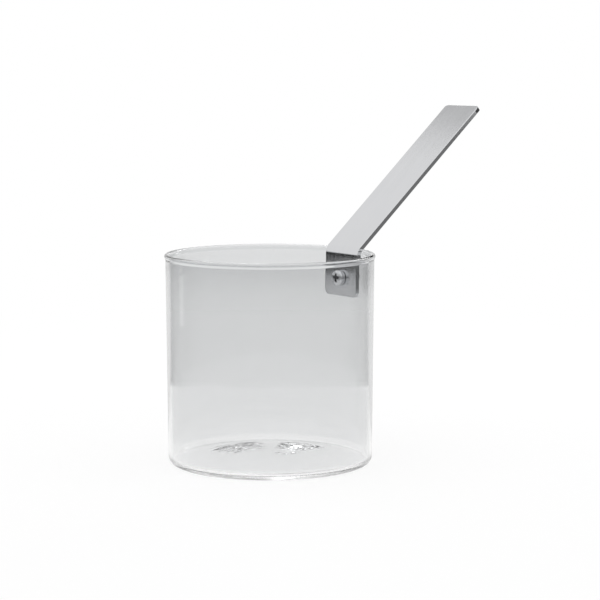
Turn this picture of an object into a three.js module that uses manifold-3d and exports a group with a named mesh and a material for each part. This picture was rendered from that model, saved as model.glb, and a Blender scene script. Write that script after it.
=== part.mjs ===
// Glass milk pan with a bent steel strip handle held by one screw, built piece by piece.
// Millimetres, +Z up. The origin is the centre of the pan's underside and the handle points along +X.

import * as THREE from 'three';
import { mergeVertices } from 'three/addons/utils/BufferGeometryUtils.js';
import Module from 'manifold-3d';

const wasm = await Module();
wasm.setup();

// Glass pan: a straight-sided beaker with a fire-polished rim
const PAN_HEIGHT = 120;
const RIM_RADIUS = 60; // widest point of the rim bead
const BEAD_WIDTH = 2.8; // the rim bead is a round of this diameter
const WALL_THICKNESS = 2.2;
const WALL_TOP_RADIUS = 59.4; // outside of the wall, just under the bead
const WALL_FOOT_RADIUS = 58.4; // outside of the wall, where the base corner begins
const BASE_CORNER_RADIUS = 4;
const FLOOR_THICKNESS = 2.6;
const FLOOR_CORNER_RADIUS = 2; // inside, where the wall meets the floor
const PAN_SIDES = 80;

// Strip handle: one length of flat steel, bent once
const STRIP_WIDTH = 30;
const STRIP_THICKNESS = 2.6;
const BEND_BACK_RADIUS = 4.1; // inside radius of the bend, on the face towards the glass
const ARM_RISE = THREE.MathUtils.degToRad(41.7); // slope of the arm above the horizontal
const ARM_LENGTH = 123.2; // front face, from the sharp corner of the bend to the free end
const ARM_CORNER_RADIUS = 2;
const TAB_FACE = 51.3; // distance of the tab's front face from the pan's axis
const TAB_BOTTOM = 92.2;
const TAB_CORNER_RADIUS = 3;
const BEND_CORNER_HEIGHT = 119.5; // sharp corner of the bend, on the front face

// Fastening: one cross-recessed screw through the tab and the drilled wall
const SCREW_HEIGHT = 103.2;
const SCREW_RADIUS = 2.45;
const SCREW_LENGTH = 16;
const HEAD_RADIUS = 5;
const HEAD_HEIGHT = 3.6;
const HEAD_SIDE_HEIGHT = 2.7; // straight side of the head, under its dome
const RECESS_ARM_LENGTH = 6;
const RECESS_ARM_WIDTH = 1.7;
const RECESS_DEPTH = 2.4;
const TAB_HOLE_RADIUS = 2.75;
const GLASS_HOLE_RADIUS = 4.2;
const BORE_RADIUS = 2.75; // through every ring on the screw
const SPACER_RADIUS = 6;
const SLEEVE_RADIUS = 3.9;
const GASKET_RADIUS = 6;
const GASKET_THICKNESS = 1; // where it is thinnest, at the screw
const WASHER_RADIUS = 5;
const WASHER_THICKNESS = 1;
const NUT_FLATS = 8;
const NUT_HEIGHT = 3.8;
const NUT_CHAMFER = 0.5; // how far the corners are turned down, along the axis
const ROUND_SIDES = 40;

const TOUCH_GAP = 0.3; // left between pieces that bear on one another
const ARC_STEPS = 5; // each arc of a profile gets twice as many segments

// Finishes
const GLASS = { color: 0xe3e8e8, roughness: 0.02, metalness: 0, transparent: true, opacity: 0.35 };
const BRUSHED_STEEL = { color: 0xcdcfd1, roughness: 0.36, metalness: 1 };
const POLISHED_STEEL = { color: 0xd6d8db, roughness: 0.16, metalness: 1 };
const SILICONE = { color: 0xd9dad6, roughness: 0.7, metalness: 0 };

/** A closed solid from a three.js geometry, for joining and cutting. */
function solid(geometry) {
  const bare = geometry.clone();
  bare.deleteAttribute('normal');
  bare.deleteAttribute('uv');
  const merged = mergeVertices(bare);
  const index = merged.index.array;
  const triVerts = [];
  for (let i = 0; i < index.length; i += 3) {
    const [a, b, c] = index.slice(i, i + 3);
    if (a !== b && b !== c && c !== a) triVerts.push(a, b, c);
  }
  return new wasm.Manifold(new wasm.Mesh({
    numProp: 3,
    vertProperties: new Float32Array(merged.attributes.position.array),
    triVerts: new Uint32Array(triVerts),
  }));
}

/** A named mesh of a solid, in one finish. */
function piece(name, body, finish) {
  const { vertProperties, numProp, triVerts } = body.getMesh();
  const geometry = new THREE.BufferGeometry();
  geometry.setAttribute('position', new THREE.BufferAttribute(vertProperties, numProp));
  geometry.setIndex(new THREE.BufferAttribute(triVerts, 1));
  geometry.computeVertexNormals();
  const mesh = new THREE.Mesh(geometry, new THREE.MeshStandardMaterial(finish));
  mesh.name = name;
  return mesh;
}

/** A solid turned about Z from a path of radius and height that starts and ends on the axis, or closes. */
function turned(path, sides) {
  const points = path.getPoints(ARC_STEPS);
  return solid(new THREE.LatheGeometry(points, sides).rotateX(Math.PI / 2));
}

/** A flat ring about Z, from one height to another. */
function ring(bore, radius, low, high) {
  const path = new THREE.Path();
  path.moveTo(bore, low);
  path.lineTo(radius, low);
  path.lineTo(radius, high);
  path.lineTo(bore, high);
  path.closePath();
  return turned(path, ROUND_SIDES);
}

/** A round bar about Z, from one height to another. */
function bar(radius, low, high) {
  const geometry = new THREE.CylinderGeometry(radius, radius, high - low, ROUND_SIDES);
  geometry.rotateX(Math.PI / 2).translate(0, 0, (low + high) / 2);
  return solid(geometry);
}

// Frame of the fastening: its Z runs out along the screw, from the tab's front face
const fastening = new THREE.Group();
fastening.position.set(TAB_FACE, 0, SCREW_HEIGHT);
fastening.rotation.y = Math.PI / 2;
fastening.updateMatrix();
const intoFastening = fastening.matrix.clone().invert();

// Where the wall and each ring sit along the screw, measured from the tab's front face
const wallSlope = (WALL_TOP_RADIUS - WALL_FOOT_RADIUS) / (PAN_HEIGHT - BASE_CORNER_RADIUS);
const wallRadiusAtScrew = WALL_FOOT_RADIUS + wallSlope * (SCREW_HEIGHT - BASE_CORNER_RADIUS);
const wallOutside = wallRadiusAtScrew - TAB_FACE;
const wallInside = wallOutside - WALL_THICKNESS;
const gasketTop = wallOutside + TOUCH_GAP + GASKET_THICKNESS;
const washerBase = gasketTop + TOUCH_GAP;
const nutBase = washerBase + WASHER_THICKNESS + TOUCH_GAP;

/** The pan's wall and all it encloses, grown by an offset, in the fastening's frame. */
function wallFilled(offset) {
  const top = WALL_TOP_RADIUS + offset;
  const foot = WALL_FOOT_RADIUS + offset;
  const height = PAN_HEIGHT - BASE_CORNER_RADIUS;
  const geometry = new THREE.CylinderGeometry(top, foot, height, PAN_SIDES);
  geometry.rotateX(Math.PI / 2).translate(0, 0, BASE_CORNER_RADIUS + height / 2);
  return solid(geometry.applyMatrix4(intoFastening));
}

/** One-piece glass beaker with a bead round its rim and a drilled hole for the screw. */
function glassVessel() {
  const bead = BEAD_WIDTH / 2;
  const beadCentre = new THREE.Vector2(RIM_RADIUS - bead, PAN_HEIGHT - bead);
  const beadStart = -Math.acos((WALL_TOP_RADIUS - beadCentre.x) / bead);
  const footEdge = WALL_FOOT_RADIUS - BASE_CORNER_RADIUS;
  const floorEdge = WALL_FOOT_RADIUS - WALL_THICKNESS - FLOOR_CORNER_RADIUS;
  const path = new THREE.Path();
  path.moveTo(0, 0);
  path.lineTo(footEdge, 0);
  path.absarc(footEdge, BASE_CORNER_RADIUS, BASE_CORNER_RADIUS, -Math.PI / 2, 0, false);
  path.absarc(beadCentre.x, beadCentre.y, bead, beadStart, Math.PI, false);
  path.absarc(floorEdge, FLOOR_THICKNESS + FLOOR_CORNER_RADIUS, FLOOR_CORNER_RADIUS, 0, -Math.PI / 2, true);
  path.lineTo(0, FLOOR_THICKNESS);
  const drill = bar(GLASS_HOLE_RADIUS, 0, 2 * wallOutside).transform(fastening.matrix.elements);
  return turned(path, PAN_SIDES).subtract(drill);
}

/** A flat plate in XY, centred on its own plane, whose far end has two rounded corners. */
function tongue(start, end, width, cornerRadius, thickness) {
  const half = width / 2;
  const shape = new THREE.Shape();
  shape.moveTo(start, -half);
  shape.lineTo(end - cornerRadius, -half);
  shape.absarc(end - cornerRadius, cornerRadius - half, cornerRadius, -Math.PI / 2, 0, false);
  shape.absarc(end - cornerRadius, half - cornerRadius, cornerRadius, 0, Math.PI / 2, false);
  shape.lineTo(start, half);
  const settings = { depth: thickness, bevelEnabled: false, curveSegments: ARC_STEPS };
  return new THREE.ExtrudeGeometry(shape, settings).translate(0, 0, -thickness / 2);
}

/** Flat strip bent outwards over the rim: an upright tab with the screw hole, and a sloping arm. */
function stripHandle() {
  const turn = Math.PI / 2 - ARM_RISE;
  const frontRadius = BEND_BACK_RADIUS + STRIP_THICKNESS;
  const tangent = frontRadius * Math.tan(turn / 2);
  const centre = new THREE.Vector2(TAB_FACE + frontRadius, BEND_CORNER_HEIGHT - tangent);
  const along = new THREE.Vector2(Math.cos(ARM_RISE), Math.sin(ARM_RISE));
  const corner = new THREE.Vector2(TAB_FACE, BEND_CORNER_HEIGHT);
  const frontEnd = corner.clone().addScaledVector(along, ARM_LENGTH);
  const backEnd = new THREE.Vector2(along.y, -along.x).multiplyScalar(STRIP_THICKNESS).add(frontEnd);

  const side = new THREE.Shape();
  side.moveTo(TAB_FACE, TAB_BOTTOM);
  side.absarc(centre.x, centre.y, frontRadius, Math.PI, Math.PI - turn, true);
  side.lineTo(frontEnd.x, frontEnd.y);
  side.lineTo(backEnd.x, backEnd.y);
  side.absarc(centre.x, centre.y, BEND_BACK_RADIUS, Math.PI - turn, Math.PI, false);
  side.lineTo(TAB_FACE + STRIP_THICKNESS, TAB_BOTTOM);
  const settings = { depth: STRIP_WIDTH, bevelEnabled: false, curveSegments: 2 * ARC_STEPS };
  const bent = new THREE.ExtrudeGeometry(side, settings);
  bent.rotateX(Math.PI / 2).translate(0, STRIP_WIDTH / 2, 0);

  // Outline of the blank before bending, as two thick plates that round the strip's four corners
  const plate = 4 * frontRadius;
  const armOutline = tongue(-tangent, ARM_LENGTH, STRIP_WIDTH, ARM_CORNER_RADIUS, plate);
  armOutline.rotateY(-ARM_RISE).translate(corner.x, 0, corner.y);
  const tabOutline = tongue(-tangent, BEND_CORNER_HEIGHT - TAB_BOTTOM, STRIP_WIDTH, TAB_CORNER_RADIUS, plate);
  tabOutline.rotateY(Math.PI / 2).translate(corner.x, 0, corner.y);
  const outline = solid(armOutline).add(solid(tabOutline));
  const hole = bar(TAB_HOLE_RADIUS, -STRIP_THICKNESS, 2 * STRIP_THICKNESS);
  return solid(bent).intersect(outline).subtract(hole.transform(fastening.matrix.elements));
}

/** Pan-head screw: a domed head inside the pan, a cross recess, and a plain bar for the thread. */
function panHeadScrew() {
  const domeRise = HEAD_HEIGHT - HEAD_SIDE_HEIGHT;
  const domeRadius = (HEAD_RADIUS ** 2 + domeRise ** 2) / (2 * domeRise);
  const domeHalf = Math.asin(HEAD_RADIUS / domeRadius);
  const under = -TOUCH_GAP; // the head's bearing face, clear of the tab
  const path = new THREE.Path();
  path.moveTo(0, under - HEAD_HEIGHT);
  path.absarc(0, under - HEAD_HEIGHT + domeRadius, domeRadius, -Math.PI / 2, domeHalf - Math.PI / 2, false);
  path.lineTo(HEAD_RADIUS, under);
  path.lineTo(SCREW_RADIUS, under);
  path.lineTo(SCREW_RADIUS, under + SCREW_LENGTH);
  path.lineTo(0, under + SCREW_LENGTH);
  const depth = 2 * RECESS_DEPTH;
  const armAcross = new THREE.BoxGeometry(RECESS_ARM_LENGTH, RECESS_ARM_WIDTH, depth);
  const armUpright = new THREE.BoxGeometry(RECESS_ARM_WIDTH, RECESS_ARM_LENGTH, depth);
  const recess = solid(armAcross).add(solid(armUpright)).translate([0, 0, under - HEAD_HEIGHT]);
  return turned(path, ROUND_SIDES).subtract(recess);
}

/** Silicone spacer that fills the gap between the flat tab and the round wall. */
function innerSpacer() {
  const blank = ring(BORE_RADIUS, SPACER_RADIUS, STRIP_THICKNESS + TOUCH_GAP, wallOutside);
  return blank.intersect(wallFilled(-WALL_THICKNESS - TOUCH_GAP));
}

/** Silicone sleeve that lines the drilled hole and keeps the screw off the glass. */
function holeSleeve() {
  return ring(BORE_RADIUS, SLEEVE_RADIUS, wallInside + TOUCH_GAP / 2, wallOutside - TOUCH_GAP / 2);
}

/** Silicone gasket outside the wall, hollowed to the wall's curve. */
function outerGasket() {
  return ring(BORE_RADIUS, GASKET_RADIUS, wallInside, gasketTop).subtract(wallFilled(TOUCH_GAP));
}

/** Flat steel washer under the nut. */
function flatWasher() {
  return ring(BORE_RADIUS, WASHER_RADIUS, washerBase, washerBase + WASHER_THICKNESS);
}

/** Hexagon nut, two corners upright, with both rims of its corners chamfered. */
function hexNut() {
  const cornerRadius = NUT_FLATS / Math.sqrt(3);
  const hexagon = new THREE.CylinderGeometry(cornerRadius, cornerRadius, NUT_HEIGHT, 6);
  hexagon.rotateX(Math.PI / 2).rotateZ(Math.PI / 6).translate(0, 0, nutBase + NUT_HEIGHT / 2);
  const turnedDown = new THREE.Path();
  turnedDown.moveTo(BORE_RADIUS, nutBase);
  turnedDown.lineTo(NUT_FLATS / 2, nutBase);
  turnedDown.lineTo(cornerRadius, nutBase + NUT_CHAMFER);
  turnedDown.lineTo(cornerRadius, nutBase + NUT_HEIGHT - NUT_CHAMFER);
  turnedDown.lineTo(NUT_FLATS / 2, nutBase + NUT_HEIGHT);
  turnedDown.lineTo(BORE_RADIUS, nutBase + NUT_HEIGHT);
  turnedDown.closePath();
  return solid(hexagon).intersect(turned(turnedDown, ROUND_SIDES));
}

fastening.add(
  piece('pan_head_screw', panHeadScrew(), POLISHED_STEEL),
  piece('inner_spacer', innerSpacer(), SILICONE),
  piece('hole_sleeve', holeSleeve(), SILICONE),
  piece('outer_gasket', outerGasket(), SILICONE),
  piece('flat_washer', flatWasher(), POLISHED_STEEL),
  piece('hex_nut', hexNut(), POLISHED_STEEL),
);

const milkPan = new THREE.Group();
milkPan.add(
  piece('glass_vessel', glassVessel(), GLASS),
  piece('strip_handle', stripHandle(), BRUSHED_STEEL),
  fastening,
);

export default milkPan;
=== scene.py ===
"""Glass milk pan with a bent steel strip handle, dressed for a studio photograph.

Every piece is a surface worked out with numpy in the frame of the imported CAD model: metres, +Z up, the
handle along +X, the origin at the centre of the pan's underside. Sizes come from the frame's own boxes and
from the driving dimensions held by the classes below.
"""

from __future__ import annotations

import logging
import math
from dataclasses import dataclass
from enum import Enum
from typing import TypeAlias

import bmesh
import bpy
import numpy as np
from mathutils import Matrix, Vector

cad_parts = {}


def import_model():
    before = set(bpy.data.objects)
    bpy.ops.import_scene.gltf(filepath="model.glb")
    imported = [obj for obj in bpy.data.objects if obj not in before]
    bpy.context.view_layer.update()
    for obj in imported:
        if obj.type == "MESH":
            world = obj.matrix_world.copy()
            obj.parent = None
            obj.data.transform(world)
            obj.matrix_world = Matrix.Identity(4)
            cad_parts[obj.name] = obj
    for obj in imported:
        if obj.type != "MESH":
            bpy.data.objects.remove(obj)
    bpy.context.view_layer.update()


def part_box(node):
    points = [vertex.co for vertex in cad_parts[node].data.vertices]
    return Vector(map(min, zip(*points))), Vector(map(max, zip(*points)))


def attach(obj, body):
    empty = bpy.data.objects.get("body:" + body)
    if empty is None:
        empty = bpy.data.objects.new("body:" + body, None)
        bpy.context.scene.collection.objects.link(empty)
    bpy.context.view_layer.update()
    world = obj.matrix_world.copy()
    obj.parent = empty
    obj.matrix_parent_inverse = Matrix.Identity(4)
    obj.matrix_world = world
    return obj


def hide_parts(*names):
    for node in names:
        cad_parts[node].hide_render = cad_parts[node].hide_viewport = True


LOG = logging.getLogger("milk_pan")
BODY = "root"
MM = 0.001
TURN = 2.0 * math.pi
QUARTER = math.pi / 2
SHARP_ANGLE = math.radians(35)
SLIVER = 0.0005 * MM
ARC_ROWS = 5
TINY = 1e-9
UP = Vector((0.0, 0.0, 1.0))

Pair: TypeAlias = tuple[float, float]
Triple: TypeAlias = tuple[float, float, float]
Quad: TypeAlias = tuple[float, float, float, float]
Colour: TypeAlias = Triple
Value: TypeAlias = "Wire | float | tuple[float, ...]"

WHITE: Colour = (1.0, 1.0, 1.0)


class Slot(Enum):
    """The record's material slots."""

    GLASS = "clear_glass"
    STRIP = "brushed_steel"
    FASTENER = "polished_steel"
    SEAL = "silicone"


class Ends(Enum):
    """How the first and the last row of a net are closed."""

    CAPPED = "a fan of triangles runs to the centre of each end row"
    JOINED = "the last row joins the first"


class Bears(Enum):
    """Which side of the glass a ring on the screw bears on."""

    NOWHERE = "both of its faces are flat"
    INSIDE = "its outer face follows the inside of the wall"
    OUTSIDE = "its inner face follows the outside of the wall"


def span(start: float, stop: float, count: int) -> np.ndarray:
    """Even steps from start up to stop, without stop itself."""
    return np.linspace(start, stop, count, endpoint=False)


def smooth_step(value: np.ndarray, low: float, high: float) -> np.ndarray:
    """Rises from 0 at low to 1 at high, level at both ends.

    Args:
        value: Where the step is taken.
        low: Where the rise begins.
        high: Where the rise ends.

    Returns:
        The step, 3 t squared minus 2 t cubed of the clipped share t of the way up.
    """
    share = np.clip((value - low) / (high - low), 0.0, 1.0)
    return share * share * (3.0 - 2.0 * share)


def hill(value: np.ndarray, start: float, full: float, ebb: float, stop: float) -> np.ndarray:
    """Smooth step up from start to full, times a smooth step down from ebb to stop."""
    return smooth_step(value, start, full) * smooth_step(value, stop, ebb)


def points_of(x: np.ndarray, y: np.ndarray, z: np.ndarray) -> np.ndarray:
    """Points whose coordinates are spread to one shape and stacked."""
    return np.stack(np.broadcast_arrays(x, y, z), axis=-1)


def bar(along: np.ndarray, radius: np.ndarray, axis_height: float, columns: int) -> np.ndarray:
    """Points of a shape turned about the screw's axis: x along it, and a circle in Y and Z at each row.

    Args:
        along: Place of each row along X. It may vary by column.
        radius: Radius of each row, which may vary by column too.
        axis_height: Height of the axis.
        columns: Points round the axis.

    Returns:
        Points, rows by columns by 3.
    """
    angle = span(0.0, TURN, columns)[None, :]
    x = along[:, None] if along.ndim == 1 else along
    reach = radius[:, None] if radius.ndim == 1 else radius
    return points_of(x, reach * np.sin(angle), axis_height + reach * np.cos(angle))


def signed_volume(points: np.ndarray, triangles: np.ndarray) -> float:
    """Sum of the tetrahedra from the origin to each triangle, positive where faces point outwards.

    Args:
        points: Vertices, n by 3.
        triangles: Vertex numbers, m by 3.

    Returns:
        The enclosed volume with its sign.
    """
    first, second, third = (points[triangles[:, corner]] for corner in range(3))
    return float(np.einsum("ij,ij->", first, np.cross(second, third))) / 6.0


def skin(name: str, net: np.ndarray, ends: Ends) -> bpy.types.Object:
    """Closes a net of points into an object whose faces point outwards.

    Args:
        name: Name of the new object and its mesh.
        net: Points, rows by columns by 3, whose columns run round and close on themselves.
        ends: How the first and last rows are closed.

    Returns:
        The object, at the origin, linked to the scene.
    """
    rows, columns, _ = net.shape
    lines = rows if ends is Ends.JOINED else rows - 1
    row, column = np.meshgrid(np.arange(lines), np.arange(columns), indexing="ij")
    here = row * columns
    after = (row + 1) % rows * columns
    beside = (column + 1) % columns
    quads = np.stack([here + column, here + beside, after + beside, after + column], axis=-1)
    quads = quads.reshape(-1, 4)
    points = net.reshape(-1, 3)
    caps = np.empty((0, 3), dtype=int)
    if ends is Ends.CAPPED:
        ring = np.arange(columns)
        ring_after = np.roll(ring, -1)
        first_pole = np.full(columns, rows * columns)
        last_row = (rows - 1) * columns
        first = np.stack([first_pole, ring_after, ring], axis=-1)
        last = np.stack([first_pole + 1, last_row + ring, last_row + ring_after], axis=-1)
        caps = np.vstack([first, last])
        points = np.vstack([points, net[[0, -1]].mean(axis=1)])
    triangles = np.vstack([quads[:, [0, 1, 2]], quads[:, [0, 2, 3]], caps])
    if signed_volume(points, triangles) < 0.0:
        quads = quads[:, ::-1]
        caps = caps[:, ::-1]
    mesh = bpy.data.meshes.new(name)
    mesh.from_pydata(points.tolist(), [], quads.tolist() + caps.tolist())
    mesh.shade_smooth()
    mesh.set_sharp_from_angle(angle=SHARP_ANGLE)
    piece = bpy.data.objects.new(name, mesh)
    bpy.context.scene.collection.objects.link(piece)
    return piece


def cut(piece: bpy.types.Object, tool: bpy.types.Object) -> None:
    """Takes a closed tool out of a closed piece for good, without slivers, and removes the tool.

    Args:
        piece: What is cut.
        tool: What is taken away.
    """
    modifier = piece.modifiers.new("cut", "BOOLEAN")
    modifier.operation = "DIFFERENCE"
    modifier.solver = "EXACT"
    modifier.object = tool
    graph = bpy.context.evaluated_depsgraph_get()
    before = piece.data
    after = bpy.data.meshes.new_from_object(piece.evaluated_get(graph))
    piece.modifiers.clear()
    piece.data = after
    bpy.data.objects.remove(tool)
    name = before.name
    bpy.data.meshes.remove(before)
    after.name = name
    shell = bmesh.new()
    shell.from_mesh(after)
    bmesh.ops.dissolve_degenerate(shell, dist=SLIVER, edges=shell.edges)
    shell.to_mesh(after)
    shell.free()
    after.shade_smooth()
    after.set_sharp_from_angle(angle=SHARP_ANGLE)


def opaque(colour: Colour) -> Quad:
    """A colour with full alpha, as a colour socket takes it."""
    return (*colour, 1.0)


class Wire:
    """One output of a shader node, on which Python's arithmetic adds Math nodes."""

    def __init__(self, tree: Tree, socket: bpy.types.NodeSocket) -> None:
        """Keeps the socket and the tree it belongs to."""
        self.tree = tree
        self.socket = socket

    def _math(self, operation: str, first: Value, second: Value) -> Wire:
        """One Math node on two values."""
        return self.tree.node("ShaderNodeMath", {"operation": operation}, {0: first, 1: second})

    def __add__(self, other: Value) -> Wire:
        """Sum."""
        return self._math("ADD", self, other)

    def __radd__(self, other: Value) -> Wire:
        """Sum, from the right."""
        return self._math("ADD", other, self)

    def __sub__(self, other: Value) -> Wire:
        """Difference."""
        return self._math("SUBTRACT", self, other)

    def __rsub__(self, other: Value) -> Wire:
        """Difference, from the right."""
        return self._math("SUBTRACT", other, self)

    def __mul__(self, other: Value) -> Wire:
        """Product."""
        return self._math("MULTIPLY", self, other)

    def __rmul__(self, other: Value) -> Wire:
        """Product, from the right."""
        return self._math("MULTIPLY", other, self)

    def __truediv__(self, other: Value) -> Wire:
        """Quotient."""
        return self._math("DIVIDE", self, other)

    def __pow__(self, other: Value) -> Wire:
        """Power."""
        return self._math("POWER", self, other)

    def __gt__(self, other: Value) -> Wire:
        """1 where this is the larger, else 0."""
        return self._math("GREATER_THAN", self, other)

    def __or__(self, other: Value) -> Wire:
        """The larger of the two."""
        return self._math("MAXIMUM", self, other)


class Tree:
    """A shader's node tree, filled by one method."""

    def __init__(self, tree: bpy.types.NodeTree) -> None:
        """Empties the tree, to be filled anew."""
        self.tree = tree
        tree.nodes.clear()

    def node(self, kind: str, settings: dict[str, object], sockets: dict[str | int, Value],
             output: str | int = 0) -> Wire:
        """Adds a node.

        Args:
            kind: The node's type.
            settings: Its own settings, set first. A ramp's "stops" are pairs of place and level.
            sockets: Value or wire of each input, by name or number.
            output: The output wanted, by name or number.

        Returns:
            A wire from that output, or from the node's first input where it has no outputs.
        """
        node = self.tree.nodes.new(kind)
        for name, value in settings.items():
            if name == "stops":
                self._set_stops(node.color_ramp, value)
            else:
                setattr(node, name, value)
        for name, value in sockets.items():
            if isinstance(value, Wire):
                self.tree.links.new(value.socket, node.inputs[name])
            else:
                node.inputs[name].default_value = value
        return Wire(self, node.outputs[output] if node.outputs else node.inputs[0])

    @staticmethod
    def _set_stops(ramp: bpy.types.ColorRamp, stops: tuple[Pair, ...]) -> None:
        """Gives a ramp its grey stops, each a place and a level.

        Args:
            ramp: The ramp.
            stops: Its stops, in order.
        """
        while len(ramp.elements) < len(stops):
            ramp.elements.new(0.5)
        for element, (place, level) in zip(ramp.elements, stops):
            element.position = place
            element.color = (level, level, level, 1.0)

    def principled(self, sockets: dict[str | int, Value]) -> Wire:
        """Principled shader with these values or wires."""
        return self.node("ShaderNodeBsdfPrincipled", {}, sockets)

    def emission(self, colour: Value) -> Wire:
        """Surface that shows a colour as it is written."""
        return self.node("ShaderNodeEmission", {}, {"Color": colour, "Strength": 1.0})

    def transparent(self, colour: Colour) -> Wire:
        """Surface that only tints what passes through it."""
        return self.node("ShaderNodeBsdfTransparent", {}, {"Color": opaque(colour)})

    def place(self) -> Wire:
        """Object coordinates of the surface."""
        return self.node("ShaderNodeTexCoord", {}, {}, "Object")

    def axis(self, name: str) -> Wire:
        """One of the Object coordinates, X, Y or Z."""
        return self.node("ShaderNodeSeparateXYZ", {}, {0: self.place()}, name)

    def radius(self) -> Wire:
        """Distance from the Z axis."""
        x, y = self.axis("X"), self.axis("Y")
        return (x * x + y * y) ** 0.5

    def noise(self, grain: Triple, detail: float = 2.0) -> Wire:
        """Noise on Object coordinates.

        Args:
            grain: Number of features per metre along X, Y and Z.
            detail: Octaves of finer noise.

        Returns:
            Its level, about 0.5 on average.
        """
        settings = {"operation": "MULTIPLY"}
        scaled = self.node("ShaderNodeVectorMath", settings, {0: self.place(), 1: grain})
        return self.node("ShaderNodeTexNoise", {}, {"Vector": scaled, "Scale": 1.0, "Detail": detail})

    def ramp(self, value: Wire, stops: tuple[Pair, ...]) -> Wire:
        """Grey ramp on a value, through pairs of place and level."""
        return self.node("ShaderNodeValToRGB", {"stops": stops}, {0: value})

    def step(self, value: Wire, low: float, high: float) -> Wire:
        """Smooth step that rises from 0 at low to 1 at high."""
        settings = {"interpolation_type": "SMOOTHSTEP", "clamp": True}
        return self.node("ShaderNodeMapRange", settings, {0: value, 1: low, 2: high})

    def blend(self, share: Wire, first: Colour, second: Colour) -> Wire:
        """Mix of two colours, from first at 0 to second at 1."""
        sockets = {0: share, 6: opaque(first), 7: opaque(second)}
        return self.node("ShaderNodeMix", {"data_type": "RGBA"}, sockets, 2)

    def bump(self, height: Wire, depth: float) -> Wire:
        """Normal of a surface raised by a height of 0 to 1 times a depth in metres."""
        return self.node("ShaderNodeBump", {}, {"Height": height, "Distance": depth, "Strength": 1.0})

    def mix_shaders(self, share: Wire, first: Wire, second: Wire) -> Wire:
        """Mix of two shaders, from first at 0 to second at 1."""
        return self.node("ShaderNodeMixShader", {}, {0: share, 1: first, 2: second})

    def light_path(self, name: str) -> Wire:
        """One output of the Light Path node."""
        return self.node("ShaderNodeLightPath", {}, {}, name)

    def shows_backdrop(self) -> Wire:
        """1 for rays that show the backdrop: straight from the camera, off metal or through glass.

        Returns:
            A wire of 0 or 1.
        """
        camera = self.light_path("Is Camera Ray")
        glossy = self.light_path("Is Glossy Ray")
        return camera | glossy | self.light_path("Is Transmission Ray")

    def mirrored(self) -> Wire:
        """1 for rays that metal or glass has already thrown back once."""
        return self.light_path("Glossy Depth") > 0.5


class Finish:
    """Base of the finishes: each gives a material of its own name."""

    name: str

    def material(self) -> bpy.types.Material:
        """The finish as a new material.

        Returns:
            The material.
        """
        material = bpy.data.materials.new(self.name)
        material.use_nodes = True
        tree = Tree(material.node_tree)
        tree.node("ShaderNodeOutputMaterial", {}, {"Surface": self.shade(tree)})
        return material

    def shade(self, tree: Tree) -> Wire:
        """The finish's shader, made in each kind of finish."""
        raise NotImplementedError


@dataclass(frozen=True)
class ClearGlass(Finish):
    """Fire-polished glass whose tint greys towards the rim as painted shade, with painted light and dark
    bands on the bead, and draw lines too faint to see singly.

    Attributes:
        name: Name of the material.
        height: Height of the vessel.
        clear: Tint of one wall of clear glass.
        grey: Tint of one wall where the painted shade is greyest.
        painted_shade_tones: How far the painted shade has taken the tint from clear to grey, at shares of
            the height. The last stops paint the bead's light and dark bands.
        foot_radius: Distances from the axis between which the rubbed foot begins.
        foot_height: Heights between which it ends.
        foot_roughness: Roughness of the rubbed foot.
        lines: Draw lines per metre along X, Y and Z.
        line_roughness: Roughness that they add.
        line_depth: Depth of the draw lines.
        shadow: Colour of the light that the glass lets through to the floor.
        index: Refractive index of borosilicate glass.
    """

    name: str
    height: float
    clear: Colour = WHITE
    grey: Colour = (0.60, 0.612, 0.62)
    painted_shade_tones: tuple[Pair, ...] = (
        (0.06, 0.245), (0.16, 0.41), (0.25, 0.41), (0.38, 0.447), (0.65, 0.464), (0.75, 0.472),
        (0.87, 0.547), (0.972, 0.64), (0.978, 0.8), (0.99, 0.8), (0.996, 0.3),
    )
    foot_radius: Pair = (51.0 * MM, 54.0 * MM)
    foot_height: Pair = (4.5 * MM, 6.5 * MM)
    foot_roughness: float = 0.15
    lines: Triple = (180.0, 180.0, 12.0)
    line_roughness: float = 0.012
    line_depth: float = 0.01 * MM
    shadow: Colour = (0.93, 0.94, 0.94)
    index: float = 1.473

    def shade(self, tree: Tree) -> Wire:
        """Glass that lets lamps through to the floor, tinted by height with painted shade.

        Args:
            tree: The material's node tree.

        Returns:
            The shader.
        """
        z = tree.axis("Z")
        foot = tree.step(tree.radius(), *self.foot_radius) * (1.0 - tree.step(z, *self.foot_height))
        # The tint's ramp by height is painted shade, darker up the wall, with painted light and dark bands
        # on the bead.
        share = tree.ramp(z / self.height, self.painted_shade_tones) * (1.0 - foot)
        lines = tree.noise(self.lines)
        glass = tree.principled({
            "Base Color": tree.blend(share, self.clear, self.grey),
            "Roughness": lines * self.line_roughness + foot * self.foot_roughness,
            "IOR": self.index,
            "Transmission Weight": 1.0,
            "Normal": tree.bump(lines, self.line_depth),
        })
        return tree.mix_shaders(tree.light_path("Is Shadow Ray"), glass, tree.transparent(self.shadow))


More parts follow.
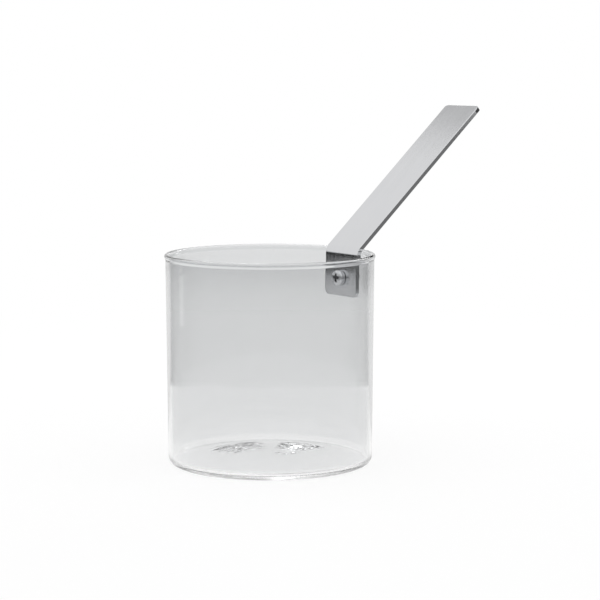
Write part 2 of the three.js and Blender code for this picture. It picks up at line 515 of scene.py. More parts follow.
@dataclass(frozen=True)
class BrushedSteel(Finish):
    """Stainless strip, brushed along its length, so that its lines lie across Y.

    Attributes:
        name: Name of the material.
        dark: Colour in the brushed lines.
        pale: Colour between them.
        lines: Brushed lines per metre along X, Y and Z.
        clouds: Soft clouds per metre along X, Y and Z.
        line_share: Share of the lines in the colour. The clouds have the rest.
        roughness: Roughness of the satin.
        line_roughness: How much it varies by line.
        cloud_roughness: How much it varies by cloud.
        line_depth: Depth of the lines.
    """

    name: str
    dark: Colour = (0.58, 0.585, 0.60)
    pale: Colour = (0.70, 0.705, 0.715)
    lines: Triple = (28.0, 5200.0, 28.0)
    clouds: Triple = (38.0, 60.0, 38.0)
    line_share: float = 0.7
    roughness: float = 0.07
    line_roughness: float = 0.08
    cloud_roughness: float = 0.06
    line_depth: float = 0.012 * MM

    def shade(self, tree: Tree) -> Wire:
        """Metal whose colour, roughness and relief follow the brushed lines.

        Args:
            tree: The material's node tree.

        Returns:
            The shader.
        """
        lines = tree.noise(self.lines, detail=3.0)
        clouds = tree.noise(self.clouds)
        tone = lines * self.line_share + clouds * (1.0 - self.line_share)
        uneven = (lines - 0.5) * self.line_roughness + (clouds - 0.5) * self.cloud_roughness
        return tree.principled({
            "Base Color": tree.blend(tone, self.dark, self.pale),
            "Metallic": 1.0,
            "Roughness": self.roughness + uneven,
            "Normal": tree.bump(lines, self.line_depth),
        })


@dataclass(frozen=True)
class PolishedSteel(Finish):
    """Bright stainless hardware with faint handling marks.

    Attributes:
        name: Name of the material.
        dull: Colour where it is handled.
        bright: Colour where it is clean.
        marks: Handling marks per metre along X, Y and Z.
        roughness: Roughness where it is smoothest.
        mark_roughness: Roughness that the marks add.
        mark_depth: Depth of the marks.
    """

    name: str
    dull: Colour = (0.64, 0.645, 0.66)
    bright: Colour = (0.78, 0.785, 0.80)
    marks: Triple = (900.0, 900.0, 900.0)
    roughness: float = 0.08
    mark_roughness: float = 0.14
    mark_depth: float = 0.004 * MM

    def shade(self, tree: Tree) -> Wire:
        """Metal with a slightly uneven polish.

        Args:
            tree: The material's node tree.

        Returns:
            The shader.
        """
        marks = tree.noise(self.marks, detail=4.0)
        return tree.principled({
            "Base Color": tree.blend(marks, self.dull, self.bright),
            "Metallic": 1.0,
            "Roughness": self.roughness + marks * self.mark_roughness,
            "Normal": tree.bump(marks, self.mark_depth),
        })


@dataclass(frozen=True)
class MilkySilicone(Finish):
    """Natural silicone rubber: milky, matte and a little uneven.

    Attributes:
        name: Name of the material.
        thin: Colour where the rubber is clearest.
        milky: Colour where it is cloudiest.
        clouds: Clouds per metre along X, Y and Z.
        grain: Grains of the moulded skin per metre along X, Y and Z.
        roughness: Roughness where it is smoothest.
        grain_roughness: Roughness that the grain adds.
        grain_depth: Depth of the grain.
        gloss: Level of its reflections.
    """

    name: str
    thin: Colour = (0.66, 0.67, 0.66)
    milky: Colour = (0.80, 0.80, 0.785)
    clouds: Triple = (420.0, 420.0, 420.0)
    grain: Triple = (5200.0, 5200.0, 5200.0)
    roughness: float = 0.5
    grain_roughness: float = 0.2
    grain_depth: float = 0.01 * MM
    gloss: float = 0.4

    def shade(self, tree: Tree) -> Wire:
        """Matte rubber with soft clouds and a fine moulded skin.

        Args:
            tree: The material's node tree.

        Returns:
            The shader.
        """
        clouds = tree.noise(self.clouds)
        grain = tree.noise(self.grain)
        return tree.principled({
            "Base Color": tree.blend(clouds, self.thin, self.milky),
            "Roughness": self.roughness + grain * self.grain_roughness,
            "Specular IOR Level": self.gloss,
            "Normal": tree.bump(grain, self.grain_depth),
        })


@dataclass(frozen=True)
class PaleFloor(Finish):
    """White studio floor, lit from within except for a share that takes the object's shadow.

    Attributes:
        name: Name of the material.
        glow: Share of the floor that is plain white to the camera, to metal and to glass.
        plain: Distances from the pan's axis between which all of it turns plain white.
        colour: Colour of the rest.
    """

    name: str
    glow: float = 0.8
    plain: Pair = (0.25, 0.7)
    colour: Colour = (0.97, 0.97, 0.97)

    def shade(self, tree: Tree) -> Wire:
        """White for rays that show the backdrop, matte for all others.

        Args:
            tree: The material's node tree.

        Returns:
            The shader.
        """
        matte = tree.node("ShaderNodeBsdfDiffuse", {}, {"Color": opaque(self.colour)})
        share = self.glow + (1.0 - self.glow) * tree.step(tree.radius(), *self.plain)
        return tree.mix_shaders(tree.shows_backdrop() * share, matte, tree.emission(opaque(WHITE)))


@dataclass(frozen=True)
class CardFinish(Finish):
    """Plain studio card of one tone, which shows in reflections and nowhere else.

    Attributes:
        name: Name of the material.
        tone: Level of light that the card shows.
    """

    name: str
    tone: float

    def cover(self, tree: Tree) -> Wire:
        """How far the card hides what is behind it: fully for mirrored rays, not at all for the rest."""
        return tree.mirrored()

    def grey(self, tree: Tree) -> Value:
        """The card's tone as a colour."""
        return opaque((self.tone, self.tone, self.tone))

    def shade(self, tree: Tree) -> Wire:
        """The card's tone where it covers, and nothing elsewhere."""
        return tree.mix_shaders(self.cover(tree), tree.transparent(WHITE), tree.emission(self.grey(tree)))


@dataclass(frozen=True)
class RoomFloor(CardFinish):
    """Darker floor beyond the white table, which falls off into the dark of the room.

    Attributes:
        ahead: Level direction of the camera, as X and Y.
        near: Distance from the pan's axis at which the white table ends, behind the camera.
        fade: Distance over which it ends.
        squeeze: How much nearer it ends towards the sides.
        open_turn: Angle to both sides of the direction ahead that stays nearly white, in degrees.
        open_fade: Angle over which the white ends, in degrees.
        open_share: Share of the floor's tone that is left there.
        dark: Tone of the room.
        far: Distance at which the floor begins to turn dark.
        far_fade: Distance over which it turns.
        skew: How much sooner it turns dark on the right than ahead.
    """

    ahead: Pair
    near: float = 0.345
    fade: float = 0.03
    squeeze: float = 0.031
    open_turn: float = 38.0
    open_fade: float = 8.0
    open_share: float = 0.35
    dark: float = 0.22
    far: float = 0.85
    far_fade: float = 0.24
    skew: float = 0.17

    def cover(self, tree: Tree) -> Wire:
        """A ring that begins by a smooth step of the radius, thinned out ahead by one of the cosine.

        Args:
            tree: The material's node tree.

        Returns:
            How far the floor hides what is below it.
        """
        radius = tree.radius()
        cosine = (tree.axis("X") * self.ahead[0] + tree.axis("Y") * self.ahead[1]) / radius
        beyond = tree.step(radius + (cosine + 1.0) * self.squeeze, self.near, self.near + self.fade)
        wide = math.cos(math.radians(self.open_turn + self.open_fade))
        narrow = math.cos(math.radians(self.open_turn))
        opening = tree.step(cosine, wide, narrow)
        return tree.mirrored() * (beyond * (1.0 - opening) + opening * self.open_share)

    def grey(self, tree: Tree) -> Wire:
        """The floor's tone, then the room's, by a smooth step of the radius and of how far right it is.

        Args:
            tree: The material's node tree.

        Returns:
            The colour.
        """
        radius = tree.radius()
        right = (tree.axis("X") * self.ahead[1] - tree.axis("Y") * self.ahead[0]) / radius
        share = tree.step(radius + right * self.skew, self.far, self.far + self.far_fade)
        return tree.blend(share, (self.tone, self.tone, self.tone), (self.dark, self.dark, self.dark))


def dress(piece: bpy.types.Object, node: str, finish: Finish,
          inside: Finish | None = None) -> None:
    """Puts a finish on a piece that stands for a CAD node, and ties it to the model.

    Args:
        piece: The new piece.
        node: The CAD node that it replaces.
        finish: What it is made of.
        inside: Finish of the faces that have material number 1, where there are any.
    """
    piece.data.materials.clear()
    piece.data.materials.append(finish.material())
    if inside is not None:
        piece.data.materials.append(inside.material())
    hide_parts(node)
    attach(piece, BODY)
    LOG.info("%s: %d vertices, %s", piece.name, len(piece.data.vertices), finish.name)


@dataclass
class GlassVessel:
    """One-piece blown glass beaker with a fire-polished bead and a mould mark in its floor.

    Attributes:
        radius: Radius of the rim, outside.
        height: Height to the top of the bead.
        wall: Thickness of the wall.
        bead: Diameter of the bead's round.
        swell: How far the bead stands out of the wall.
        bead_height: Height over which the bead swells out.
        taper: How much wider the wall is under the bead than at its foot, in radius.
        corner: Outside radius of the base corner.
        floor: Thickness of the floor.
        floor_corner: Inside radius where the wall meets the floor.
        hole: Radius of the drilled hole.
        pole: Radius of the first row under the base.
        sway: How far the wall falls short of a true cone at most.
        sway_lobes: Waves of the sway round the wall.
        sway_twist: How far the sway turns from the base to the rim.
        mark_inner: Radius at which the mark in the floor begins.
        mark_outer: Radius at which it ends.
        mark_length: Distance from one of its steps to the next.
        mark_slope: Slope of the steps.
        mark_fall: Share of a step at which it begins to fall back.
        mark_sink: Share of a step's rise by which all of it lies lower.
        mark_waver: Sine waves that make the steps waver, each a depth in steps, a count and a start.
        mark_side: Direction from the axis between its two patches.
        mark_shift: How far the mark's own centre lies off the axis in that direction.
        right_patch: Angles at which the right patch begins, is full, ebbs and ends.
        left_patch: The same of the left patch.
        left_rise: Rise of the left patch's steps beside the right one's.
        speck: Radius of the specks at the middle of the mark.
        speck_height: Height of the specks.
        speck_gap: Distance between them.
        spots: Where they lie, in steps along the mark's direction and, as the imaginary part, to its left.
        under_rows: Rows under the base.
        corner_rows: Rows round each corner of the base, and up the swell under the bead.
        wall_rows: Rows up the outside of the wall.
        bead_rows: Rows over the bead.
        inside_rows: Rows down the inside of the wall.
        floor_rows: Rows across the floor.
        columns: Points round the vessel.
        drill_columns: Points round the hole.
    """

    radius: float
    height: float
    wall: float = 2.2 * MM
    bead: float = 2.8 * MM
    swell: float = 0.6 * MM
    bead_height: float = 3.8 * MM
    taper: float = 1.0 * MM
    corner: float = 4.0 * MM
    floor: float = 2.6 * MM
    floor_corner: float = 2.0 * MM
    hole: float = 4.2 * MM
    pole: float = 0.4 * MM
    sway: float = 0.05 * MM
    sway_lobes: float = 2.0
    sway_twist: float = 5.0
    mark_inner: float = 18.0 * MM
    mark_outer: float = 40.0 * MM
    mark_length: float = 5.0 * MM
    mark_slope: float = 0.3
    mark_fall: float = 0.7
    mark_sink: float = 0.35
    mark_waver: tuple[Triple, ...] = ((0.14, 4.0, 0.8), (0.08, 9.0, -0.4), (0.09, 19.0, 0.0))
    mark_side: float = math.radians(54.0)
    mark_shift: float = 7.5 * MM
    right_patch: Quad = (-0.1, -0.4, -0.8, -1.1)
    left_patch: Quad = (0.1, 0.4, 0.9, 1.4)
    left_rise: float = -0.8
    speck: float = 1.3 * MM
    speck_height: float = 0.3 * MM
    speck_gap: float = 4.5 * MM
    spots: tuple[complex, ...] = (1.3 - 1.0j, 0.6 - 1.9j, 1.0 - 3.0j)
    under_rows: int = 16
    corner_rows: int = 12
    wall_rows: int = 26
    bead_rows: int = 25
    inside_rows: int = 30
    floor_rows: int = 180
    columns: int = 288
    drill_columns: int = 64

    @classmethod
    def from_frame(cls) -> GlassVessel:
        """The vessel that fills its node's box."""
        low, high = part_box("glass_vessel")
        return cls(radius=(high.x - low.x) / 2, height=high.z - low.z)

    def outside(self, z: np.ndarray | float) -> np.ndarray:
        """Outside radius of the plain wall at a height: a straight taper down from the bead.

        Args:
            z: Height above the base.

        Returns:
            The radius there.
        """
        share = (self.height - z) / (self.height - self.corner)
        return self.radius - self.swell - self.taper * share

    def _profile(self) -> tuple[np.ndarray, np.ndarray]:
        """Half section of the glass, from the axis under the base, up the outside and down the inside.

        The base corner and the bead are arcs, the wall a straight taper, and the bead swells out of the
        wall by a smooth step.

        Returns:
            Radius and height of each row.
        """
        foot = float(self.outside(self.corner))
        edge = foot - self.corner
        inner = self.floor_corner
        floor_edge = foot - self.wall - inner
        bead = self.bead / 2
        round_height = self.height - bead
        swell_height = self.height - self.bead_height
        turn = np.linspace(-QUARTER, 0.0, self.corner_rows)
        over = np.linspace(0.0, np.pi, self.bead_rows)
        under = np.linspace(self.pole, edge, self.under_rows)[:-1]
        up = np.concatenate([
            np.linspace(self.corner, swell_height, self.wall_rows)[1:-1],
            np.linspace(swell_height, round_height, self.corner_rows)[:-1],
        ])
        reach = self.outside(up)
        down = np.linspace(round_height, self.floor + inner, self.inside_rows)[1:-1]
        share = (down - down[-1]) / (round_height - down[-1])
        inside_foot = floor_edge + inner
        back = span(floor_edge, 0.0, self.floor_rows)[1:]
        radius = np.concatenate([
            under,
            edge + self.corner * np.cos(turn),
            reach + (self.radius - reach) * smooth_step(up, swell_height, round_height),
            self.radius - bead + bead * np.cos(over),
            inside_foot + (self.radius - self.bead - inside_foot) * share,
            floor_edge + inner * np.cos(turn[::-1]),
            back,
        ])
        height = np.concatenate([
            np.zeros(under.size),
            self.corner + self.corner * np.sin(turn),
            up,
            round_height + bead * np.sin(over),
            down,
            self.floor + inner + inner * np.sin(turn[::-1]),
            np.full(back.size, self.floor),
        ])
        return radius, height

    def _mould_mark(self, radius: np.ndarray, angle: np.ndarray) -> np.ndarray:
        """Height of the mark in the floor: wavering steps in a ring, in two patches, and a few specks.

        Each step rises evenly with the radius and falls back by a smooth step, and sine waves of the angle
        make it waver. The left patch is turned over, and lower. Smooth steps of the radius and of the angle
        bound the patches. The specks are bell curves.

        Args:
            radius: Distance from the axis.
            angle: Direction round the axis.

        Returns:
            Height above the plain floor.
        """
        place = radius * np.exp(1j * (angle - self.mark_side)) - self.mark_shift
        reach = np.abs(place)
        turn = np.angle(place)
        length = self.mark_length
        waver = sum(depth * np.sin(count * turn + start) for depth, count, start in self.mark_waver)
        step = (reach / length + waver) % 1.0
        saw = step - smooth_step(step, self.mark_fall, 1.0) - self.mark_sink
        inner = self.mark_inner
        outer = self.mark_outer
        band = hill(reach, inner, inner + length, outer - length, outer)
        patches = hill(turn, *self.right_patch) + self.left_rise * hill(turn, *self.left_patch)
        away = (np.abs(place - self.speck_gap * spot) / self.speck for spot in self.spots)
        specks = sum(np.exp(-distance ** 2) for distance in away)
        return self.mark_slope * length * band * patches * saw + self.speck_height * specks

    def build(self, screw_height: float) -> bpy.types.Object:
        """Turns the profile about Z, marks its floor and drills the wall for the screw.

        The wall lies inside a true cone by a sine of the height times a wave of the angle.

        Args:
            screw_height: Height of the hole's axis.

        Returns:
            The finished piece.
        """
        radius, height = (row[:, None] for row in self._profile())
        angle = span(0.0, TURN, self.columns)[None, :]
        # The floor's own rows lie above the underside and well within the wall.
        on_floor = (height > 0.9 * self.floor) & (radius < self.radius - 2.0 * self.corner)
        lift = np.where(on_floor, self._mould_mark(radius, angle), 0.0)
        share = height / self.height
        wave = np.sin(np.pi * share) * np.sin(self.sway_lobes * angle + self.sway_twist * share)
        reach = radius - self.sway * np.abs(wave) * (radius > self.radius - self.corner)
        net = points_of(reach * np.cos(angle), reach * np.sin(angle), height + lift)
        piece = skin("glass_beaker", net, Ends.CAPPED)
        along = np.array([0.5 * self.radius, 1.5 * self.radius])
        drill = bar(along, np.full(2, self.hole), screw_height, self.drill_columns)
        cut(piece, skin("drill", drill, Ends.CAPPED))
        dress(piece, "glass_vessel", ClearGlass(Slot.GLASS.value, self.height))
        return piece


@dataclass
class StripHandle:
    """Flat steel strip, bent once into a tab inside the pan and an arm that slopes up and out.

    Attributes:
        face: Distance of the tab's front face from the pan's axis.
        bottom: Height of the tab's lower end.
        tip: Where the front face of the arm ends, as X and Z.
        width: Width of the strip.
        thickness: Thickness of the strip.
        rise: Slope of the arm.
        bend_radius: Radius of the bend, at the middle of the strip.
        tab_corner: Radius of the tab's corners.
        arm_corner: Radius of the arm's corners.
        edge: Radius of the broken edges.
        support: Distance from a broken edge to the points that keep the faces flat.
        hole: Radius of the screw hole.
        lead: How far the hole's edges are broken along its axis.
        tab_rows: Rows up the tab.
        bend_rows: Rows round the bend.
        arm_rows: Rows along the arm.
        drill_columns: Points round the hole.
    """

    face: float
    bottom: float
    tip: Pair
    width: float
    thickness: float = 2.6 * MM
    rise: float = math.radians(41.7)
    bend_radius: float = 5.4 * MM
    tab_corner: float = 3.0 * MM
    arm_corner: float = 2.0 * MM
    edge: float = 0.1 * MM
    support: float = 0.3 * MM
    hole: float = 2.75 * MM
    lead: float = 0.35 * MM
    tab_rows: int = 12
    bend_rows: int = 25
    arm_rows: int = 40
    drill_columns: int = 48

    @classmethod
    def from_frame(cls) -> StripHandle:
        """The strip that fills its node's box.

        Returns:
            The strip.
        """
        low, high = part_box("strip_handle")
        tip = (high.x - cls.thickness * math.sin(cls.rise), high.z)
        return cls(face=low.x, bottom=low.z, tip=tip, width=high.y - low.y)

    def _ends(self, corner: float) -> np.ndarray:
        """Distances from an end at which rows are laid, close together where its corners are round.

        Args:
            corner: Radius of that end's corners.

        Returns:
            The distances, rising from 0 to the corner's radius, none of them twice.
        """
        turn = np.linspace(0.0, QUARTER, 2 * ARC_ROWS - 1)
        rows = np.concatenate([self.edge * (1.0 - np.cos(turn[::2])), corner * (1.0 - np.cos(turn))])
        return np.unique(np.round(rows, 7))

    def _path(self) -> tuple[np.ndarray, np.ndarray, np.ndarray]:
        """Middle line of the strip: up the tab, round the bend and out along the arm.

        The bend is an arc, which begins at the height from which it meets the arm.

        Returns:
            X and Z of each row, the path's direction there as an angle, and the distance from the start.
        """
        half = self.thickness / 2
        run = math.cos(self.rise)
        climb = math.sin(self.rise)
        bend = np.linspace(0.0, QUARTER - self.rise, self.bend_rows)
        curve = self.bend_radius * bend
        curve_x = self.face + half + self.bend_radius * (1.0 - np.cos(bend))
        curve_z = self.bend_radius * np.sin(bend)
        tip_x = self.tip[0] + half * climb
        tip_z = self.tip[1] - half * run
        start_z = tip_z - (tip_x - curve_x[-1]) * math.tan(self.rise) - curve_z[-1]
        curve_z = start_z + curve_z
        tab_length = start_z - self.bottom
        arm_length = (tip_x - curve_x[-1]) / run
        tab = np.concatenate([
            self._ends(self.tab_corner),
            np.linspace(self.tab_corner, tab_length, self.tab_rows)[1:-1],
        ])
        arm = np.concatenate([
            np.linspace(0.0, arm_length - self.arm_corner, self.arm_rows)[1:-1],
            arm_length - self._ends(self.arm_corner)[::-1],
        ])
        direction = QUARTER - np.concatenate([np.zeros(tab.size), bend, np.full(arm.size, bend[-1])])
        x = np.concatenate([np.full(tab.size, curve_x[0]), curve_x, curve_x[-1] + arm * run])
        z = np.concatenate([self.bottom + tab, curve_z, curve_z[-1] + arm * climb])
        travel = np.concatenate([tab, tab_length + curve, tab_length + curve[-1] + arm])
        return np.stack([x, z], axis=-1), direction, travel

    @staticmethod
    def _drawn_in(distance: np.ndarray, radius: float) -> np.ndarray:
        """How far an arc lies inside the straight edge: its radius less the root of what is left of it.

        Args:
            distance: Distance from the end of the edge.
            radius: Radius of the arc.

        Returns:
            The distance from the straight edge in to the arc.
        """
        left = np.clip(radius - distance, 0.0, radius)
        return radius - np.sqrt(radius * radius - left * left)

    def _half_sizes(self, travel: np.ndarray) -> tuple[np.ndarray, np.ndarray]:
        """Half width and half thickness along the strip: full, but drawn in by arcs near both ends.

        Args:
            travel: Distance of each row from the start of the path.

        Returns:
            Half width and half thickness of each row.
        """
        stop = travel[-1] - travel
        corners = self._drawn_in(travel, self.tab_corner) + self._drawn_in(stop, self.arm_corner)
        edges = self._drawn_in(travel, self.edge) + self._drawn_in(stop, self.edge)
        return self.width / 2 - corners, self.thickness / 2 - edges

    def _section(self, half_width: np.ndarray,
                 half_thickness: np.ndarray) -> tuple[np.ndarray, np.ndarray]:
        """Rounded rectangle across the strip: four corner arcs, with support points beside them.

        Args:
            half_width: Half width of each row.
            half_thickness: Half thickness of each row.

        Returns:
            Offsets across the width and through the thickness, rows by columns.
        """
        arc = np.linspace(0.0, QUARTER, ARC_ROWS)
        quarter = np.concatenate([arc[:1], arc, arc[-1:]])
        angle = np.concatenate([quarter + corner * QUARTER for corner in range(4)])
        side = np.repeat([1.0, -1.0, -1.0, 1.0], quarter.size)
        face = np.repeat([1.0, 1.0, -1.0, -1.0], quarter.size)
        on_side = self.support * (np.arange(quarter.size) == 0)
        sunk = np.concatenate([on_side, on_side[::-1]] * 2)
        drawn = np.roll(sunk, quarter.size)
        across = side * (half_width[:, None] - self.edge - drawn) + self.edge * np.cos(angle)
        through = face * (half_thickness[:, None] - self.edge - sunk) + self.edge * np.sin(angle)
        return across, through

    def build(self, screw_height: float) -> bpy.types.Object:
        """Carries the section along the path and drills the tab.

        Args:
            screw_height: Height of the hole's axis.

        Returns:
            The finished piece.
        """
        middle, direction, travel = self._path()
        across, through = self._section(*self._half_sizes(travel))
        x = middle[:, :1] + through * np.sin(direction)[:, None]
        z = middle[:, 1:] - through * np.cos(direction)[:, None]
        piece = skin("bent_strip", points_of(x, across, z), Ends.CAPPED)
        lead = self.lead
        back = self.face + self.thickness
        wide = self.hole + 2 * lead
        along = np.array([self.face - lead, self.face + lead, back - lead, back + lead])
        radius = np.array([wide, self.hole, self.hole, wide])
        cut(piece, skin("drill", bar(along, radius, screw_height, self.drill_columns), Ends.CAPPED))
        dress(piece, "strip_handle", BrushedSteel(Slot.STRIP.value))
        return piece


@dataclass(frozen=True)
class Ring:
    """A ring on the screw, which fills its node's box.

    Attributes:
        name: Name of the piece.
        node: The CAD node that it replaces.
        edge: Radius of its edges.
        bears: Which side of the glass it bears on.
        slot: The record's slot of its finish.
    """

    name: str
    node: str
    edge: float
    bears: Bears
    slot: Slot


@dataclass
class Fastening:
    """Cross-recessed screw with its nut, washer and silicone seals, on one axis along X.

    Attributes:
        height: Height of the screw's axis.
        vessel: The glass that the seals bear on.
        head_height: Height of the screw's head.
        side_height: Straight side of the head, under its dome.
        shoulder: Radius between the dome and the side.
        foot: Radius between the side and the bearing face.
        neck: How much wider than the shank the bearing face ends.
        pole: Angle of the dome's first row.
        shank: Radius over the thread's crests.
        shank_start: Distance of its first row from the head.
        pitch: Advance of the thread in one turn.
        thread_depth: Depth of the screw's thread.
        flank: Steepness of the thread's flanks.
        crest: How much of the thread's wave its crests cut off.
        thread_start: Distances from the head between which the thread begins.
        point: How much narrower than the shank the screw's end is.
        recess_reach: Half the length of the cross recess, at the dome.
        recess_width: Half the width of its arms, at the dome.
        recess_depth: Depth of the recess.
        recess_taper: Share of its reach that is left at three quarters of its depth, and at its bottom.
        recess_mouth: How far its tool stands out of the dome.
        margin: How far inside the dome a face lies that belongs to the recess.
        painted_recess_shade: Dark and pale colour painted into the recess as its shade.
        bore: Radius of the bore through every ring.
        gap: Clearance between pieces that bear on one another.
        nut_face: Radius of the nut's faces, as a share of half its flats.
        nut_lead: How far the edges of its bore are broken.
        nut_thread: Depth of its thread.
        rings: The rings, from the tab outwards.
        dome_rows: Rows over the dome.
        shoulder_rows: Rows round the shoulder.
        screw_rows: Rows along one turn of the screw's thread.
        nut_rows: Rows along one turn of the nut's thread.
        columns: Points round the axis.
        nut_columns: Points round the nut.
    """

    height: float
    vessel: GlassVessel
    head_height: float = 3.6 * MM
    side_height: float = 2.7 * MM
    shoulder: float = 0.5 * MM
    foot: float = 0.25 * MM
    neck: float = 0.3 * MM
    pole: float = 0.02
    shank: float = 2.45 * MM
    shank_start: float = 0.2 * MM
    pitch: float = 0.8 * MM
    thread_depth: float = 0.42 * MM
    flank: float = 1.9
    crest: float = 0.45
    thread_start: Pair = (1.0 * MM, 2.0 * MM)
    point: float = 0.8 * MM
    recess_reach: float = 3.0 * MM
    recess_width: float = 0.85 * MM
    recess_depth: float = 2.4 * MM
    recess_taper: Pair = (0.62, 0.3)
    recess_mouth: float = 1.0 * MM
    margin: float = 0.1 * MM
    painted_recess_shade: tuple[Colour, Colour] = ((0.10, 0.10, 0.105), (0.22, 0.22, 0.23))
    bore: float = 2.75 * MM
    gap: float = 0.3 * MM
    nut_face: float = 0.94
    nut_lead: float = 0.3 * MM
    nut_thread: float = 0.22 * MM
    rings: tuple[Ring, ...] = (
        Ring("silicone_spacer", "inner_spacer", 0.3 * MM, Bears.INSIDE, Slot.SEAL),
        Ring("silicone_sleeve", "hole_sleeve", 0.2 * MM, Bears.NOWHERE, Slot.SEAL),
        Ring("silicone_gasket", "outer_gasket", 0.25 * MM, Bears.OUTSIDE, Slot.SEAL),
        Ring("plain_washer", "flat_washer", 0.22 * MM, Bears.NOWHERE, Slot.FASTENER),
    )
    dome_rows: int = 16
    shoulder_rows: int = 8
    screw_rows: int = 10
    nut_rows: int = 8
    columns: int = 72
    nut_columns: int = 96

    @classmethod
    def from_frame(cls, vessel: GlassVessel) -> Fastening:
        """The fastening whose axis runs through the middle of the screw's box."""
        low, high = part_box("pan_head_screw")
        return cls(height=(low.z + high.z) / 2, vessel=vessel)

    def _head(self, radius: float) -> tuple[np.ndarray, np.ndarray]:
        """Half section of the head: a dome, a rounded shoulder, a straight side and the bearing face.

        The dome is the arc that rises from the side to the crown, and the shoulder rounds where they meet.

        Args:
            radius: Radius of the head.

        Returns:
            Distance outwards from the crown, and radius, of each row.
        """
        shoulder = self.shoulder
        foot = self.foot
        rise = self.head_height - self.side_height
        dome = (radius * radius + rise * rise) / (2.0 * rise)
        lean = math.asin((radius - shoulder) / (dome - shoulder))
        sweep = np.linspace(self.pole, lean, self.dome_rows)
        turn = np.linspace(lean, QUARTER, self.shoulder_rows + 1)[1:]
        pivot_radius = (dome - shoulder) * math.sin(lean)
        pivot = dome - (dome - shoulder) * math.cos(lean)
        fold = np.linspace(0.0, QUARTER, ARC_ROWS + 1)
        along = np.concatenate([
            dome - dome * np.cos(sweep),
            pivot - shoulder * np.cos(turn),
            self.head_height - foot + foot * np.sin(fold),
            [self.head_height],
        ])
        reach = np.concatenate([
            dome * np.sin(sweep),
            pivot_radius + shoulder * np.sin(turn),
            radius - foot + foot * np.cos(fold),
            [self.shank + self.neck],
        ])
        return along, reach

    def _groove(self, along: np.ndarray, angle: np.ndarray) -> np.ndarray:
        """How deep a thread is cut, from 0 on its crest to 1 at its root.

        It is a clipped triangle wave of the distance along the axis less the angle's share of a turn.

        Args:
            along: Distance along the axis.
            angle: Direction round it.

        Returns:
            The share of the thread's depth.
        """
        turns = (along / self.pitch - angle / TURN) % 1.0
        return np.clip(self.flank * np.abs(2.0 * turns - 1.0) - self.crest, 0.0, 1.0)

    def _screw(self, steel: PolishedSteel) -> None:
        """The screw: its head, then a shank whose radius follows a helix, cut by the cross recess.

        Args:
            steel: What it is made of.
        """
        low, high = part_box("pan_head_screw")
        head_along, head_reach = self._head((high.z - low.z) / 2)
        length = high.x - low.x - self.head_height
        rows = int(length / self.pitch * self.screw_rows)
        along = np.linspace(self.shank_start, length, rows)[:, None]
        angle = span(0.0, TURN, self.columns)[None, :]
        groove = self._groove(along, angle) * smooth_step(along, *self.thread_start)
        point = self.shank - self.point + (length - along)
        shank = np.minimum(self.shank - self.thread_depth * groove, point)
        level = np.ones((1, self.columns))
        place = np.concatenate([head_along[:, None] * level, (self.head_height + along) * level])
        reach = np.concatenate([head_reach[:, None] * level, shank])
        net = bar(low.x + place, reach, self.height, self.columns)
        piece = skin("pan_head_screw_threaded", net, Ends.CAPPED)
        cut(piece, self._recess(low.x))
        # The recess is painted dark, as the shade that falls in it, on a finish of its own.
        recess_shade = PolishedSteel("painted_shade_recess", *self.painted_recess_shade)
        dress(piece, "pan_head_screw", steel, recess_shade)
        crown = self.dome_rows + self.shoulder_rows
        in_recess = self._in_recess(piece.data, low.x, head_along[:crown], head_reach[:crown])
        piece.data.polygons.foreach_set("material_index", in_recess.astype(np.int32))

    def _recess(self, crown: float) -> bpy.types.Object:
        """Tool for the cross recess: a plus sign that narrows as it goes in.

        At each depth the plus is the outer edge of two crossed bars: the larger, in each direction, of
        the two bars' own reach, which is the nearer of a bar's end and its side.

        Args:
            crown: Where the head's dome begins, along X.

        Returns:
            The closed tool.
        """
        deep = self.recess_depth
        depth = np.array([-self.recess_mouth, 0.0, 0.75 * deep, deep])[:, None]
        share = np.array([1.0, 1.0, *self.recess_taper])[:, None]
        reach = self.recess_reach * share
        half = self.recess_width * (0.5 + 0.5 * share)
        lip = np.arctan2(half, reach)
        quarter = np.concatenate([-lip, np.zeros_like(lip), lip, np.full_like(lip, np.pi / 4)], axis=1)
        angle = np.concatenate([quarter + turn * QUARTER for turn in range(4)], axis=1)
        level = np.maximum(np.abs(np.cos(angle)), TINY)
        upright = np.maximum(np.abs(np.sin(angle)), TINY)
        level_bar = np.minimum(reach / level, half / upright)
        upright_bar = np.minimum(half / level, reach / upright)
        radius = np.maximum(level_bar, upright_bar)
        net = points_of(crown + depth, radius * np.sin(angle), self.height + radius * np.cos(angle))
        return skin("recess", net, Ends.CAPPED)

    def _in_recess(self, mesh: bpy.types.Mesh, crown: float, dome_along: np.ndarray,
                   dome_reach: np.ndarray) -> np.ndarray:
        """Which faces of the screw line its recess: those near the axis that lie well inside the dome.

        Args:
            mesh: The screw's mesh.
            crown: Where the head's dome begins, along X.
            dome_along: Distance of the dome's rows from the crown.
            dome_reach: Radius of the dome's rows.

        Returns:
            One truth value for each face.
        """
        centres = np.empty(3 * len(mesh.polygons))
        mesh.polygons.foreach_get("center", centres)
        depth, across, up = centres.reshape(-1, 3).T - np.array([[crown], [0.0], [self.height]])
        reach = np.hypot(across, up)
        inside = depth > np.interp(reach, dome_reach, dome_along) + self.margin
        return inside & (depth < self.recess_depth + self.margin) & (reach < self.recess_reach)

